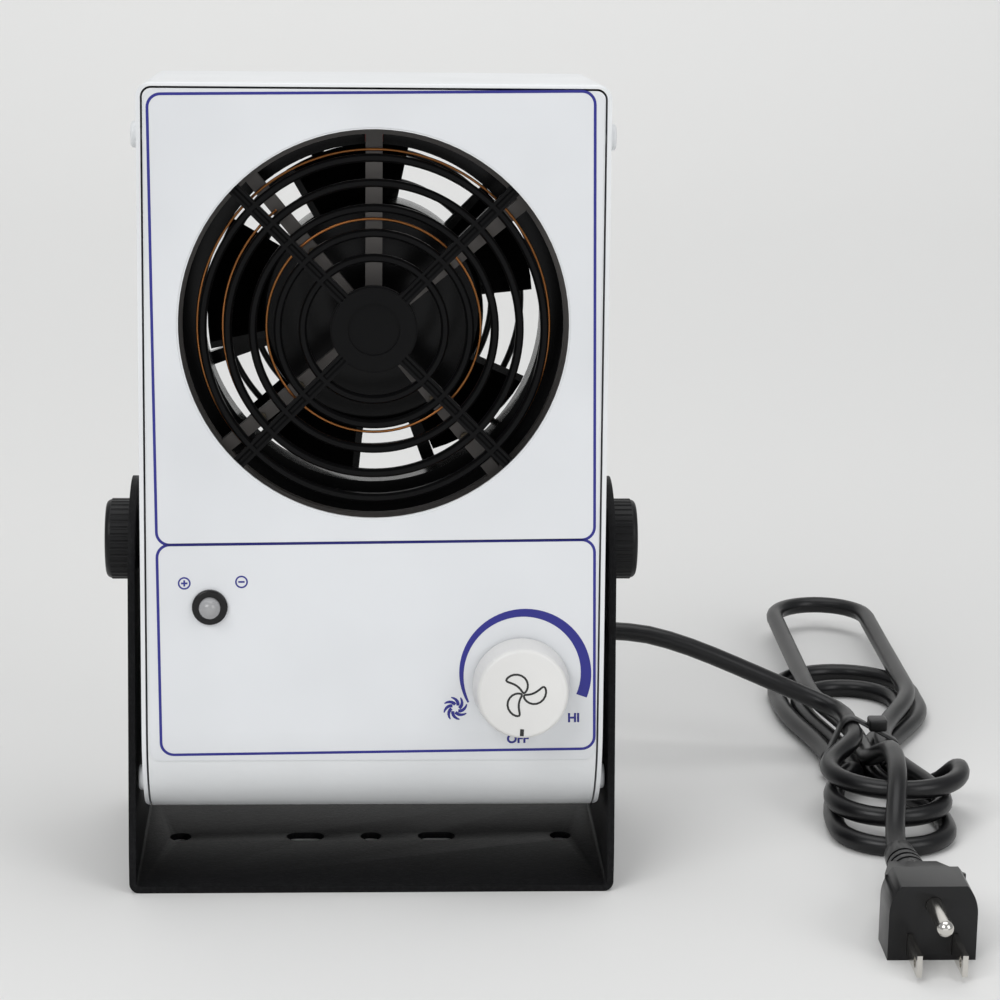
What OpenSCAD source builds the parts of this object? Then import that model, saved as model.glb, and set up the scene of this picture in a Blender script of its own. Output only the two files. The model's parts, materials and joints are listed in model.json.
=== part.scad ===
// Benchtop ionizing blower: a sheet-metal fan head that tilts in a U bracket, held by two clamp knobs.
// A moulded finger guard, an emitter frame with needles and an axial fan sit one behind the other.
// Millimetres, +Z up. The grille faces -Y. The origin is the middle of the bracket's underside.
// Pieces of the head are drawn from its tilt pivot, with the head upright, and in_head() leans them back.

/* [Head housing] */
// Width of the head over its side walls
head_w = 133; // [130:0.5:160]
// Height of the head
head_h = 214; // [205:0.5:240]
// Depth of the head from front plate to rear wall
head_d = 80; // [78:0.5:110]
// Sheet thickness of shell and cover
skin_t = 1.2; // [0.8:0.1:2]
// Radius where the cover turns under at the bottom
front_bend_r = 28; // [10:0.5:34]
// Radius of the long corners seen from the front
corner_r = 4.3; // [3:0.1:8]
// Gap between the cover and the side walls
cover_gap = 0.6; // [0.2:0.1:1]
// Depth of the cover's side flanges, which take the side screws
flange_d = 12; // [8:0.5:20]
// Height of the tilt pivot above the underside of the head
pivot_up = 77.5; // [70:0.5:82]
// Distance of the pivot behind the front plate
pivot_back = 40; // [34:0.5:50]
// Lean of the head at rest, top backwards
rest_tilt = 5; // [0:0.5:10]

/* [Bracket] */
// Sheet thickness of the bracket
arm_t = 2; // [1.5:0.1:3]
// Height of the tilt pivot above the bench
pivot_h = 96.5; // [94:0.5:130]
// Depth of the bracket's base, front to back
base_d = 82; // [60:1:100]
// Radius of the rounded top of an arm
arm_top_r = 27; // [20:0.5:35]
// How far the centre of that top lies below the pivot
arm_top_drop = 8.5; // [0:0.5:12]
// Height of the straight foot of an arm, below its taper
arm_foot_h = 12; // [6:0.5:20]
// Outside radius of the two bends
bend_r = 3; // [2.2:0.1:5]
// Diameter of the round bench holes
hole_d = 6.5; // [4:0.1:8]
// Length of the two slots, end to end
slot_l = 11.5; // [8:0.5:16]
// Distance from the middle to an outer round hole
hole_x = 58; // [50:0.5:60]
// Distance from the middle to a slot
slot_x = 20; // [14:0.5:30]

/* [Tilt clamp] */
// Thickness of the nylon washer between arm and head
washer_t = 2.5; // [2:0.1:5]
// Diameter of that washer
washer_d = 18; // [14:0.5:24]
// Diameter of the clamp stud
stud_d = 6; // [5:0.5:8]
// Diameter of a clamp knob
clamp_d = 24; // [20:0.5:30]
// Thickness of a clamp knob
clamp_t = 8; // [6:0.5:12]
// Number of grip grooves round a clamp knob
clamp_grooves = 36; // [18:1:48]

/* [Front opening] */
// Diameter of the opening in the cover
opening_d = 110.5; // [100:0.5:111]
// Height of its centre above the underside of the head
opening_up = 146; // [144:0.5:147]
// How far the guard and fan sit below the centre of the opening
guard_drop = 1.3; // [0:0.1:2]
// Number of rings in the finger guard
guard_rings = 5; // [3:1:6]
// Radius of the innermost ring, to its middle
ring_first_r = 20.2; // [18:0.1:22]
// Step from one ring to the next
ring_step = 7.05; // [6.2:0.05:7.2]
// Width of a ring
ring_w = 2.3; // [1.6:0.1:3]
// Thickness of the guard, front to back
guard_t = 3; // [2:0.1:4]
// Width of a guard spoke
spoke_w = 3.5; // [2.5:0.1:5]
// Radius of the disc in the middle
boss_r = 12.4; // [10:0.1:15]

/* [Fan] */
// Side of the square fan frame
fan_size = 119.5; // [116:0.5:120]
// Depth of the fan frame
fan_depth = 38; // [30:0.5:40]
// Diameter of the fan's throat
fan_bore = 100; // [94:0.5:104]
// Distance between fan screws along a side
fan_pitch = 105; // [104:0.5:106]
// Thickness of the frame's two square flanges
fan_flange_t = 4; // [3:0.5:6]
// Diameter of the impeller over its blade tips
impeller_d = 98; // [88:0.5:102]
// Number of blades
blades = 5; // [3:1:7]
// Diameter of the impeller hub
hub_d = 66; // [60:0.5:68]
// Depth of the impeller, front to back
impeller_t = 27; // [20:0.5:28]
// How far a blade turns round the axis from front to back, in degrees
blade_twist = 42; // [30:1:50]
// Blade thickness
blade_t = 2; // [1.4:0.1:3]
// Diameter of the motor shaft
shaft_d = 3; // [2.5:0.1:4]

/* [Emitters] */
// Width of an emitter arm
emitter_arm_w = 4; // [3.5:0.1:6]
// Depth of an emitter arm
emitter_arm_t = 4; // [3:0.1:5]
// How far the emitter arms are turned from the guard's spokes, in degrees
emitter_turn = 5.5; // [0:0.5:12]
// Gap between the guard and the emitter arms
emitter_back = 7; // [5:0.5:10]
// Radius of the outer emitter wire
wire_outer_r = 50.3; // [48:0.1:52]
// Radius of the inner emitter wire
wire_inner_r = 30.6; // [28:0.1:34]
// Diameter of the emitter wire
wire_d = 0.8; // [0.5:0.1:1.2]

/* [Controls] */
// Speed knob, to the right of the middle
knob_x = 42.6; // [36:0.1:44]
// Height of the speed knob above the underside of the head
knob_up = 42; // [38:0.5:46]
// Diameter of the speed knob at its foot
knob_d = 28; // [22:0.5:30]
// Height of the speed knob
knob_h = 11; // [8:0.5:16]
// Indicator, to the left of the middle
lamp_x = 46.7; // [40:0.1:52]
// Height of the indicator above the underside of the head
lamp_up = 65; // [60:0.5:68]
// Diameter of the indicator's bezel
lamp_d = 10.2; // [8:0.1:12]
// Thickness of the front label film
label_t = 0.3; // [0.2:0.05:0.5]
// Height of the label's lower edge above the underside of the head
label_up = 19.5; // [16:0.5:24]

/* [Mains cord] */
// Diameter of the round cord
cord_d = 6; // [5:0.1:7]
// Cord gland, to the right of the middle
gland_x = 40; // [34:0.5:44]
// Height of the gland above the underside of the head
gland_up = 31.5; // [26:0.5:40]
// Length of the gland behind the rear wall
gland_l = 20; // [14:0.5:24]
// Width of the plug
plug_w = 25; // [22:0.5:28]
// Height of the plug
plug_h = 22; // [20:0.5:24]
// Length of the plug's body
plug_l = 34; // [28:0.5:40]

/* [Hidden] */
$fn = 64;
fine = 0.02;          // clearance of pieces pressed or set together
run = 0.05;           // radial clearance of a shaft that turns
slip = 0.3;           // clearance of loose neighbours
over = 1;             // how far a cutter runs past a face

front_y = -pivot_back;
rear_y = head_d - pivot_back;
bot = -pivot_up;
top = head_h - pivot_up;
side_x = head_w / 2;
inner_x = side_x - skin_t;
cover_x = inner_x - cover_gap;
plate_y = front_y + skin_t;
wall_y = rear_y - skin_t;
floor_z = bot + skin_t;
edge_r = skin_t;                       // small radius along the top edges of the housing

bracket_w = head_w + 2 * (washer_t + arm_t);
arm_x = bracket_w / 2;
screw_d = 4;                           // side screws and fan screws
screw_head_d = 7.5;
screw_head_h = 1.8;
// Places (y, z) of the two screws on a side, in the middle of the cover's flange
side_screw_at = [[front_y + flange_d / 2 + 1, top - 15], [front_y + flange_d / 2 + 9, bot + 11]];
nut_t = 2.4;
clip_d = 8;                            // clinch nuts inside the cover's flanges

open_z = opening_up - pivot_up;
fan_z = open_z - guard_drop;
guard_y = plate_y;                     // the guard lies against the back of the cover
guard_back = guard_y + guard_t;
guard_rim_r = opening_d / 2 + 4.5;     // hidden rim of the guard, behind the cover
fan_front = wall_y - fan_depth;
duct_wall = 2;
duct_r = opening_d / 2 + 1.75;
duct_flange_t = 2;
emitter_y = guard_back + emitter_back;
emitter_rim_w = 2.4;
wire_arc_r = 43;                       // the short wire between the two rings
wire_arc = [130, 219];                 // where it starts and ends, counted from the right, in degrees
needle_r = [27.2, 41.3];                  // where the needles stand on each arm
needle_d = 1;
needle_l = 4;
socket_d = 2.4;
socket_l = 2.5;

throat_l = 14;                         // length of the fan's throat, which then widens to the intake
cup_d = 62;                            // motor cup of the fan frame
cup_t = 4;
strut_w = 4;
stator_d = hub_d - 8.4;
stator_t = 14;
post_d = 12;                           // bearing post in the middle of the stator
bearing_d = 8;
bearing_t = 3;
magnet_t = 1.6;
hub_wall = 1.6;
hub_front = fan_front + 5;             // front face of the impeller hub
blade_rest = 6;                        // where the first blade starts at rest, in degrees
intake_r = duct_r - 0.5;
mouth_r = intake_r - 0.5;              // wide rear end of the fan's bore
rear_ring_r = [19, 28, 37, 46, 55];    // rings of the rear wire guard
rear_wire_d = 2;

knob_z = knob_up - pivot_up;
lamp_z = lamp_up - pivot_up;
pot_d = 24;
pot_t = 9;
bush_d = 7;
knob_shaft_d = 6;
knob_hollow_d = 11.4;                  // room for the nut under the speed knob
label_x = inner_x - 1;
label_top = top - skin_t - 1;
label_z = label_up - pivot_up;

gland_z = gland_up - pivot_up;
gland_d = 12;
gland_collar_d = 18;
gland_collar_t = 3;
floor_r = cord_d / 2;                  // height of a cord that lies on the bench

// ---------- helpers ----------

// A piece of the head, in its place on the leaning head.
module in_head() {
    translate([0, 0, pivot_h]) rotate([-rest_tilt, 0, 0]) children();
}

// A row-frame point of a point that is given from the pivot on the upright head.
function head_point(p) = [
    p[0],
    p[1] * cos(rest_tilt) + p[2] * sin(rest_tilt),
    pivot_h - p[1] * sin(rest_tilt) + p[2] * cos(rest_tilt)
];

// Draws a front view (x, z) as a slab from y to y + t.
module slab(y, t) {
    translate([0, y + t, 0]) rotate([90, 0, 0]) linear_extrude(t) children();
}

// Draws a side view (y, z) as a bar centred on x.
module across(x, w) {
    translate([x - w / 2, 0, 0]) rotate([90, 0, 90]) linear_extrude(w) children();
}

// Turns a half section (radius, y) round an axis along Y.
module turned() {
    rotate([-90, 0, 0]) rotate_extrude($fn = 96) children();
}

// Rod along Y from y to y + l.
module rod_y(d, y, l) {
    translate([0, y, 0]) rotate([-90, 0, 0]) cylinder(d = d, h = l);
}

// Rod along X from x to x + l.
module rod_x(d, x, l) {
    translate([x, 0, 0]) rotate([0, 90, 0]) cylinder(d = d, h = l);
}

// What a radius r takes off a corner; sx and sz point from the corner into the sheet.
module corner_off(x, z, sx, sz, r) {
    translate([x, z]) difference() {
        translate([sx > 0 ? -over : -r, sz > 0 ? -over : -r]) square(r + over);
        translate([sx * r, sz * r]) circle(r);
    }
}

// Rectangle with four corner radii, in the order bottom left, top left, top right, bottom right.
module rounded(x0, z0, x1, z1, r) {
    difference() {
        translate([x0, z0]) square([x1 - x0, z1 - z0]);
        if (r[0] > 0) corner_off(x0, z0, 1, 1, r[0]);
        if (r[1] > 0) corner_off(x0, z1, 1, -1, r[1]);
        if (r[2] > 0) corner_off(x1, z1, -1, -1, r[2]);
        if (r[3] > 0) corner_off(x1, z0, -1, 1, r[3]);
    }
}

module ring2d(r_out, r_in) {
    difference() {
        circle(r_out, $fn = 96);
        circle(r_in, $fn = 96);
    }
}

// The four corners of a square pattern with the given pitch.
module at_corners(pitch) {
    for (sx = [-1, 1], sz = [-1, 1]) translate([sx * pitch / 2, 0, sz * pitch / 2]) children();
}

// ---------- swept cord ----------

function unit(v) = v / norm(v);
function spline(a, b, c, d, t) = 0.5 * (2 * b + (c - a) * t + (2 * a - 5 * b + 4 * c - d) * t * t
    + (3 * b - 3 * c + d - a) * t * t * t);
function at(p, i) = i < 0 ? 2 * p[0] - p[1] : i > len(p) - 1 ? 2 * p[len(p) - 1] - p[len(p) - 2] : p[i];
// Points along a smooth curve through p, with n steps between neighbours.
function smooth(p, n) = [for (i = [0 : len(p) - 2], k = [0 : n - 1])
    spline(at(p, i - 1), at(p, i), at(p, i + 1), at(p, i + 2), k / n), p[len(p) - 1]];
function heading(q, i) = unit(at(q, i + 1) - at(q, i - 1));
// A sideways direction for each ring, carried along so that the tube doesn't twist.
function sideways(q, i = 0, last = [0, 0, 1]) = i == len(q) ? [] :
    let (t = heading(q, i), s = unit(last - (last * t) * t)) concat([s], sideways(q, i + 1, s));

// A closed tube of diameter d along the points q.
module tube(q, d, sides) {
    side = sideways(q, 0, abs(heading(q, 0)[2]) > 0.9 ? [1, 0, 0] : [0, 0, 1]);
    rings = [for (i = [0 : len(q) - 1], k = [0 : sides - 1])
        q[i] + d / 2 * (cos(360 * k / sides) * side[i]
            + sin(360 * k / sides) * cross(heading(q, i), side[i]))];
    walls = [for (i = [0 : len(q) - 2], k = [0 : sides - 1]) let (n = (k + 1) % sides)
        [i * sides + k, i * sides + n, (i + 1) * sides + n, (i + 1) * sides + k]];
    first = [for (k = [0 : sides - 1]) sides - 1 - k];
    last = [for (k = [0 : sides - 1]) (len(q) - 1) * sides + k];
    polyhedron(rings, concat(walls, [first, last]), convexity = 8);
}

// ---------- bracket ----------

// Front view of the U: outer radius bend_r, inner radius less the sheet.
module u_outline() {
    difference() {
        rounded(-arm_x, 0, arm_x, pivot_h + arm_top_r, [bend_r, 0, 0, bend_r]);
        rounded(-arm_x + arm_t, arm_t, arm_x - arm_t, pivot_h + arm_top_r + over,
            [bend_r - arm_t, 0, 0, bend_r - arm_t]);
    }
}

// Side view of an arm: a straight foot, a taper and a round top, left by cutting off the two sides.
module arm_outline() {
    half = base_d / 2;
    top_z = pivot_h - arm_top_drop;
    reach = norm([half, top_z - arm_foot_h]);
    turn = atan2(top_z - arm_foot_h, half) + asin(arm_top_r / reach);
    taper_l = sqrt(reach * reach - arm_top_r * arm_top_r);
    touch = [half - taper_l * cos(turn), arm_foot_h + taper_l * sin(turn)];
    difference() {
        translate([-half, 0]) square([base_d, top_z + arm_top_r]);
        for (s = [0, 1]) mirror([s, 0]) difference() {
            polygon([[half + over, arm_foot_h], [half, arm_foot_h], touch, [0, top_z],
                [0, top_z + arm_top_r + over], [half + over, top_z + arm_top_r + over]]);
            translate([0, top_z]) circle(arm_top_r);
        }
    }
}

module bench_holes() {
    for (x = [-hole_x, 0, hole_x]) translate([x, 0, -over]) cylinder(d = hole_d, h = arm_t + 2 * over);
    for (x = [-slot_x, slot_x]) translate([x, 0, -over]) linear_extrude(arm_t + 2 * over) {
        square([slot_l - hole_d, hole_d], center = true);
        for (s = [-1, 1]) translate([s * (slot_l - hole_d) / 2, 0]) circle(d = hole_d);
    }
}

module bracket() color("#1c1c1d") difference() {
    intersection() {
        slab(-base_d / 2, base_d) u_outline();
        across(0, bracket_w + 2 * over) arm_outline();
    }
    bench_holes();
    translate([0, 0, pivot_h]) rod_x(stud_d + 2 * slip, -arm_x - over, bracket_w + 2 * over);
}

// ---------- tilt clamp ----------

module pivot_washers() color("#2a2a2b") for (s = [-1, 1]) in_head() difference() {
    rod_x(washer_d, s * (side_x + washer_t / 2) - washer_t / 2, washer_t);
    rod_x(stud_d + 2 * slip, s * (side_x + washer_t / 2) - washer_t, 2 * washer_t);
}

// Knob with a crowned face, drawn with its axis on +X from the arm outwards.
module clamp_knob(s) {
    rim_r = 2;
    crown = 0.6;
    stud_hole = clamp_t * 0.6;
    color("#19191a") translate([0, 0, pivot_h]) mirror([s < 0 ? 1 : 0, 0, 0]) translate([arm_x, 0, 0])
        difference() {
            rotate([0, 90, 0]) rotate_extrude($fn = 96) {
                square([clamp_d / 2 - 0.6, 0.8]);
                translate([0, 0.6]) square([clamp_d / 2, clamp_t - rim_r - 0.6]);
                translate([0, 0.6]) square([clamp_d / 2 - rim_r, clamp_t - crown - 0.6]);
                translate([clamp_d / 2 - rim_r, clamp_t - rim_r]) circle(rim_r - crown / 2, $fn = 32);
                polygon([[0, 1], [clamp_d / 2 - rim_r, 1], [clamp_d / 2 - rim_r, clamp_t - crown],
                    [0, clamp_t]]);
            }
            for (i = [0 : clamp_grooves - 1]) rotate([360 * i / clamp_grooves, 0, 0])
                translate([0.8, 0, clamp_d / 2 + 0.25]) rotate([0, 90, 0])
                    cylinder(r = 0.6, h = clamp_t, $fn = 16);
            rod_x(stud_d + 2 * fine, -over, stud_hole + over);
        }
}

module clamp_stud(s) color("#8d9094") translate([0, 0, pivot_h]) mirror([s < 0 ? 1 : 0, 0, 0])
    rod_x(stud_d, inner_x - 6, arm_x - inner_x + 6 + clamp_t * 0.6 - slip);

module clamp_knob_left() clamp_knob(-1);
module clamp_stud_left() clamp_stud(-1);
module clamp_knob_right() clamp_knob(1);
module clamp_stud_right() clamp_stud(1);

// ---------- housing ----------

// Side view of the head, drawn smaller by t all round.
module side_profile(t = 0) {
    rounded(front_y + t, bot + t, rear_y - t, top - t,
        [max(front_bend_r - t, 0.2), max(edge_r - t, 0.2), max(edge_r - t, 0.2), max(edge_r - t, 0.2)]);
}

// Front view of the head, drawn smaller by t and reaching lower by drop.
module front_profile(t = 0, drop = 0) {
    r = max(corner_r - t, 0.3);
    rounded(-side_x + t, bot + t - drop, side_x - t, top - t, [r, r, r, r]);
}

module side_screw_holes(d, x) {
    for (s = [-1, 1], p = side_screw_at) translate([0, p[0], p[1]]) rod_x(d, s * x - 3, 6);
}

module rear_shell() color("#eceeee") in_head() difference() {
    intersection() {
        across(0, head_w) side_profile();
        slab(front_y - over, head_d + 2 * over) front_profile();
    }
    // The inside, open at the front and the bottom, where the cover closes it.
    intersection() {
        across(0, head_w) translate([front_y - over, bot - over])
            square([head_d - skin_t + over, head_h - skin_t + over]);
        slab(front_y - over, head_d + 2 * over) front_profile(skin_t, 12);
    }
    translate([0, 0, fan_z]) rod_y(2 * intake_r, wall_y - over, skin_t + 2 * over);
    translate([0, 0, fan_z]) at_corners(fan_pitch) rod_y(screw_d + 2 * slip, wall_y - over, skin_t + 2 * over);
    translate([gland_x, 0, gland_z]) rod_y(gland_d + 2 * fine, wall_y - over, skin_t + 2 * over);
    rod_x(stud_d + 2 * slip, -side_x - over, head_w + 2 * over);
    side_screw_holes(screw_d + 2 * slip, inner_x);
    board_post_places() rod_y(3 + 2 * slip, wall_y - over, skin_t + 2 * over);
}

// The cover's section: front and bottom only.
module cover_band(t) intersection() {
    difference() {
        side_profile();
        side_profile(t);
    }
    translate([front_y - over, bot - over]) square([
        head_d - skin_t - cover_gap + over,
        head_h - skin_t - cover_gap + over
    ]);
}

module front_cover() color("#f1f3f3") in_head() difference() {
    intersection() {
        union() {
            across(0, 2 * cover_x) cover_band(skin_t);
            for (s = [-1, 1]) across(s * (cover_x - skin_t / 2), skin_t) cover_band(flange_d);
        }
        slab(front_y - over, head_d + 2 * over) front_profile(skin_t + cover_gap, 12);
    }
    translate([0, 0, open_z]) rod_y(opening_d, front_y - over, skin_t + 2 * over);
    translate([knob_x, 0, knob_z]) rod_y(bush_d + 2 * fine, front_y - over, skin_t + 2 * over);
    translate([-lamp_x, 0, lamp_z]) rod_y(lamp_d - 2 + 2 * fine, front_y - over, skin_t + 2 * over);
    side_screw_holes(screw_d + 2 * fine, cover_x);
    high_voltage_holes(3 + 2 * slip, bot - over, skin_t + 2 * over);
}

module front_label() color("#e2e8ee") in_head() difference() {
    intersection() {
        across(0, 2 * label_x) difference() {
            side_profile(-label_t - fine);
            side_profile(-fine);
        }
        slab(front_y - over, front_bend_r) rounded(-label_x, label_z, label_x, label_top, [3, 3, 3, 3]);
    }
    translate([0, 0, open_z]) rod_y(opening_d + 1, front_y - label_t - over, label_t + 2 * over);
    translate([knob_x, 0, knob_z]) rod_y(bush_d + 7, front_y - label_t - over, label_t + 2 * over);
    translate([-lamp_x, 0, lamp_z]) rod_y(lamp_d + 2 * fine, front_y - label_t - over, label_t + 2 * over);
}

// Half section of a pan head, standing on its seat.
module pan_head_section() {
    round_r = 0.9;
    square([screw_head_d / 2, screw_head_h - round_r]);
    square([screw_head_d / 2 - round_r, screw_head_h]);
    translate([screw_head_d / 2 - round_r, screw_head_h - round_r]) circle(round_r, $fn = 32);
}

module side_screws() color("#b9bbbd") in_head() for (s = [-1, 1], p = side_screw_at)
    translate([0, p[0], p[1]]) mirror([s < 0 ? 1 : 0, 0, 0]) {
        translate([side_x, 0, 0]) rotate([0, 90, 0]) rotate_extrude() pan_head_section();
        rod_x(screw_d, side_x - 8, 8 + fine);
    }

module clip_nuts() color("#77797c") in_head() for (s = [-1, 1], p = side_screw_at)
    translate([0, p[0], p[1]]) mirror([s < 0 ? 1 : 0, 0, 0]) difference() {
        rod_x(clip_d, cover_x - skin_t - nut_t, nut_t);
        rod_x(screw_d + 2 * fine, cover_x - 12, 14);
    }

module pivot_nuts() color("#9a9da0") in_head() for (s = [-1, 1]) mirror([s < 0 ? 1 : 0, 0, 0])
    difference() {
        union() {
            rod_x(16, inner_x - 1.5, 1.5);
            rod_x(10.5, inner_x - 6, 6);
        }
        rod_x(stud_d + 2 * run, inner_x - 10, 12);
    }

// ---------- finger guard, air duct and emitters ----------

guard_ring_r = [for (i = [0 : guard_rings - 1]) ring_first_r + i * ring_step];

// Section of a guard ring: flat back, sloping flanks and a narrow front.
module ring_section(r) translate([r, guard_y])
    polygon([[-ring_w / 4, 0], [ring_w / 4, 0], [ring_w / 2, guard_t * 0.35], [ring_w / 2, guard_t],
        [-ring_w / 2, guard_t], [-ring_w / 2, guard_t * 0.35]]);

module guard_spoke() {
    w = spoke_w;
    rotate([90, 0, 90]) translate([0, 0, boss_r - 1]) linear_extrude(guard_rim_r - boss_r)
        polygon([[guard_y, -w / 2], [guard_y, -w / 2 + 0.8], [guard_y + 0.6, -w / 2 + 1.4],
            [guard_y + 0.6, w / 2 - 1.4], [guard_y, w / 2 - 0.8], [guard_y, w / 2],
            [guard_back, w / 2], [guard_back, -w / 2]]);
}

module finger_guard() color("#1b1b1c") in_head() translate([0, 0, fan_z]) {
    turned() {
        for (r = guard_ring_r) ring_section(r);
        translate([guard_rim_r - 3, guard_y]) square([3, guard_t]);
        // Disc in the middle: a raised band round a flat dish.
        translate([0, guard_y + 0.8]) square([boss_r, guard_t - 0.8]);
        translate([boss_r * 0.6, guard_y]) square([boss_r * 0.36, guard_t]);
    }
    for (a = [45 : 90 : 315]) rotate([0, -a, 0]) guard_spoke();
}

module air_duct() color("#0e0e0f") in_head() translate([0, 0, fan_z]) difference() {
    union() {
        turned() {
            translate([duct_r, guard_back]) square([duct_wall, fan_front - guard_back]);
            translate([duct_r, guard_back]) square([guard_rim_r - duct_r, duct_flange_t]);
        }
        slab(fan_front - duct_flange_t, duct_flange_t) difference() {
            square(fan_size, center = true);
            circle(duct_r + duct_wall / 2, $fn = 96);
        }
    }
    at_corners(fan_pitch) rod_y(screw_d + 2 * fine, fan_front - duct_flange_t - over, duct_flange_t + 2 * over);
    for (x = lead_x) translate([x, lead_y, duct_r - over]) cylinder(d = lead_d + 3 * slip, h = duct_wall + 3);
}

// Front view of the emitter frame: a rim, four arms and the arm that brings the leads in at the top.
module emitter_frame() color("#77706b") in_head() translate([0, 0, fan_z]) difference() {
    slab(emitter_y, emitter_arm_t) difference() {
        union() {
            circle(9, $fn = 96);
            for (i = [0 : 3]) rotate(45 + 90 * i - emitter_turn)
                translate([0, -emitter_arm_w / 2]) square([duct_r - emitter_rim_w, emitter_arm_w]);
            translate([-emitter_arm_w * 0.6, 0]) square([emitter_arm_w * 1.2, duct_r - emitter_rim_w]);
            ring2d(duct_r - fine, duct_r - emitter_rim_w);
        }
        circle(5);
        for (i = [0 : 3], r = needle_r) rotate(45 + 90 * i - emitter_turn) translate([r, 0])
            circle(d = socket_d - 1);
    }
    for (x = lead_x) translate([x, lead_y, frame_top - fan_z - lead_pocket])
        cylinder(d = lead_d + slip, h = lead_pocket + over);
}

module at_needles() for (i = [0 : 3], r = needle_r)
    rotate([0, -(45 + 90 * i - emitter_turn), 0]) translate([r, 0, 0]) children();

// Two whole rings, and an arc between them on the left.
module emitter_wires() color("#a8622c") in_head() translate([0, 0, fan_z]) {
    turned() for (r = [wire_inner_r, wire_outer_r]) translate([r, emitter_y - wire_d / 2])
        circle(d = wire_d, $fn = 24);
    rotate([-90, 0, 0]) rotate([0, 0, -wire_arc[1]]) rotate_extrude(angle = wire_arc[1] - wire_arc[0], $fn = 96)
        translate([wire_arc_r, emitter_y - wire_d / 2]) circle(d = wire_d, $fn = 24);
}

module needle_sockets() color("#b08d3e") in_head() translate([0, 0, fan_z]) at_needles() {
    rod_y(socket_d, emitter_y - socket_l, socket_l);
    rod_y(socket_d - 1 - 2 * fine, emitter_y - fine, emitter_arm_t);
}

module emitter_needles() color("#c9cbce") in_head() translate([0, 0, fan_z]) at_needles() {
    rod_y(needle_d, emitter_y - socket_l - needle_l * 0.6, needle_l * 0.6);
    translate([0, emitter_y - socket_l - needle_l * 0.6, 0]) rotate([90, 0, 0])
        cylinder(d1 = needle_d, d2 = 0.1, h = needle_l * 0.4, $fn = 24);
}

// ---------- fan ----------

module fan_frame() color("#141415") in_head() translate([0, 0, fan_z]) {
    cup_y = wall_y - cup_t;
    difference() {
        union() {
            for (y = [fan_front, wall_y - fan_flange_t]) slab(y, fan_flange_t)
                rounded(-fan_size / 2, -fan_size / 2, fan_size / 2, fan_size / 2, [6, 6, 6, 6]);
            rod_y(fan_size - 0.5, fan_front, fan_depth);
            at_corners(fan_pitch) rod_y(8, fan_front, fan_depth);
        }
        turned() polygon([[0, fan_front - over], [fan_bore / 2, fan_front - over],
            [fan_bore / 2, fan_front + throat_l], [mouth_r, wall_y], [mouth_r, wall_y + over],
            [0, wall_y + over]]);
        at_corners(fan_pitch) rod_y(screw_d + 2 * slip, fan_front - over, fan_depth + 2 * over);
    }
    // Motor cup and the struts that carry it across the outlet of the bore.
    rod_y(cup_d, cup_y, cup_t);
    for (a = [20 : 90 : 290]) rotate([0, -a, 0]) translate([cup_d / 2 - 1, cup_y, -strut_w / 2])
        cube([mouth_r - cup_d / 2 + 2, cup_t, strut_w]);
    // Post that holds the two bearings and the stator.
    difference() {
        rod_y(post_d, cup_y - stator_t - 5, stator_t + 5);
        rod_y(bearing_d + 2 * fine, cup_y - stator_t - 5 - over, stator_t + 5 + over);
    }
}

module motor_stator() color("#8a4a22") in_head() translate([0, wall_y - cup_t - stator_t - 1, fan_z])
    difference() {
        union() {
            rod_y(stator_d, 1, stator_t - 2);
            rod_y(stator_d - 8, 0, stator_t);
        }
        rod_y(post_d + 2 * fine, -over, stator_t + 2 * over);
        for (a = [0 : 60 : 300]) rotate([0, a + 30, 0]) translate([stator_d / 2, -over, 0])
            rod_y(5, 0, stator_t + 2 * over);
    }

bearing_y = [wall_y - cup_t - stator_t - 5, wall_y - cup_t - bearing_t];

module motor_bearings() color("#a9adb1") in_head() translate([0, 0, fan_z]) for (y = bearing_y) difference() {
    rod_y(bearing_d, y, bearing_t);
    rod_y(shaft_d + 2 * run, y - over, bearing_t + 2 * over);
}

module motor_shaft() color("#c3c6c9") in_head() translate([0, 0, fan_z])
    rod_y(shaft_d, hub_front + hub_wall, wall_y - cup_t - slip - hub_front - hub_wall);

// Points of one side of a blade's section: a straight strip from the hub to the tip.
function blade_edge(side) = [for (k = [0 : 5]) let (
    r = hub_d / 2 - 1 + (impeller_d / 2 - hub_d / 2 + 1) * k / 5,
    a = side * blade_t / 2 / r * 180 / PI
) [r * cos(a), r * sin(a)]];

module impeller() color("#101011") in_head() translate([0, 0, fan_z]) {
    difference() {
        turned() {
            translate([0, hub_front]) square([hub_d / 2 - 2, hub_wall + 2]);
            translate([0, hub_front + 2]) square([hub_d / 2, impeller_t - 2]);
            translate([hub_d / 2 - 2, hub_front + 2]) circle(2);
        }
        rod_y(hub_d - 2 * hub_wall, hub_front + hub_wall, impeller_t);
    }
    for (i = [0 : blades - 1]) rotate([0, -(blade_rest + 360 * i / blades), 0])
        translate([0, hub_front + impeller_t - 0.5, 0]) rotate([90, 0, 0])
            linear_extrude(impeller_t - 1, twist = -blade_twist, slices = 8, segments = 12, convexity = 4)
                polygon(concat(blade_edge(-1), [for (k = [5 : -1 : 0]) blade_edge(1)[k]]));
}

module rotor_magnet() color("#3a3a3c") in_head() translate([0, 0, fan_z]) difference() {
    rod_y(hub_d - 2 * hub_wall - 2 * fine, hub_front + impeller_t - stator_t, stator_t);
    rod_y(hub_d - 2 * hub_wall - 2 * magnet_t, hub_front + impeller_t - stator_t - over, stator_t + 2 * over);
}

module fan_screws() color("#b9bbbd") in_head() translate([0, 0, fan_z]) at_corners(fan_pitch) {
    rod_y(screw_d, fan_front - duct_flange_t - nut_t - 1.5,
        fan_depth + skin_t + duct_flange_t + nut_t + 1.5 + ear_t);
    rod_y(screw_head_d, rear_y + ear_t, screw_head_h * 0.7);
    rod_y(screw_head_d - 1.6, rear_y + ear_t, screw_head_h);
}

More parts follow.
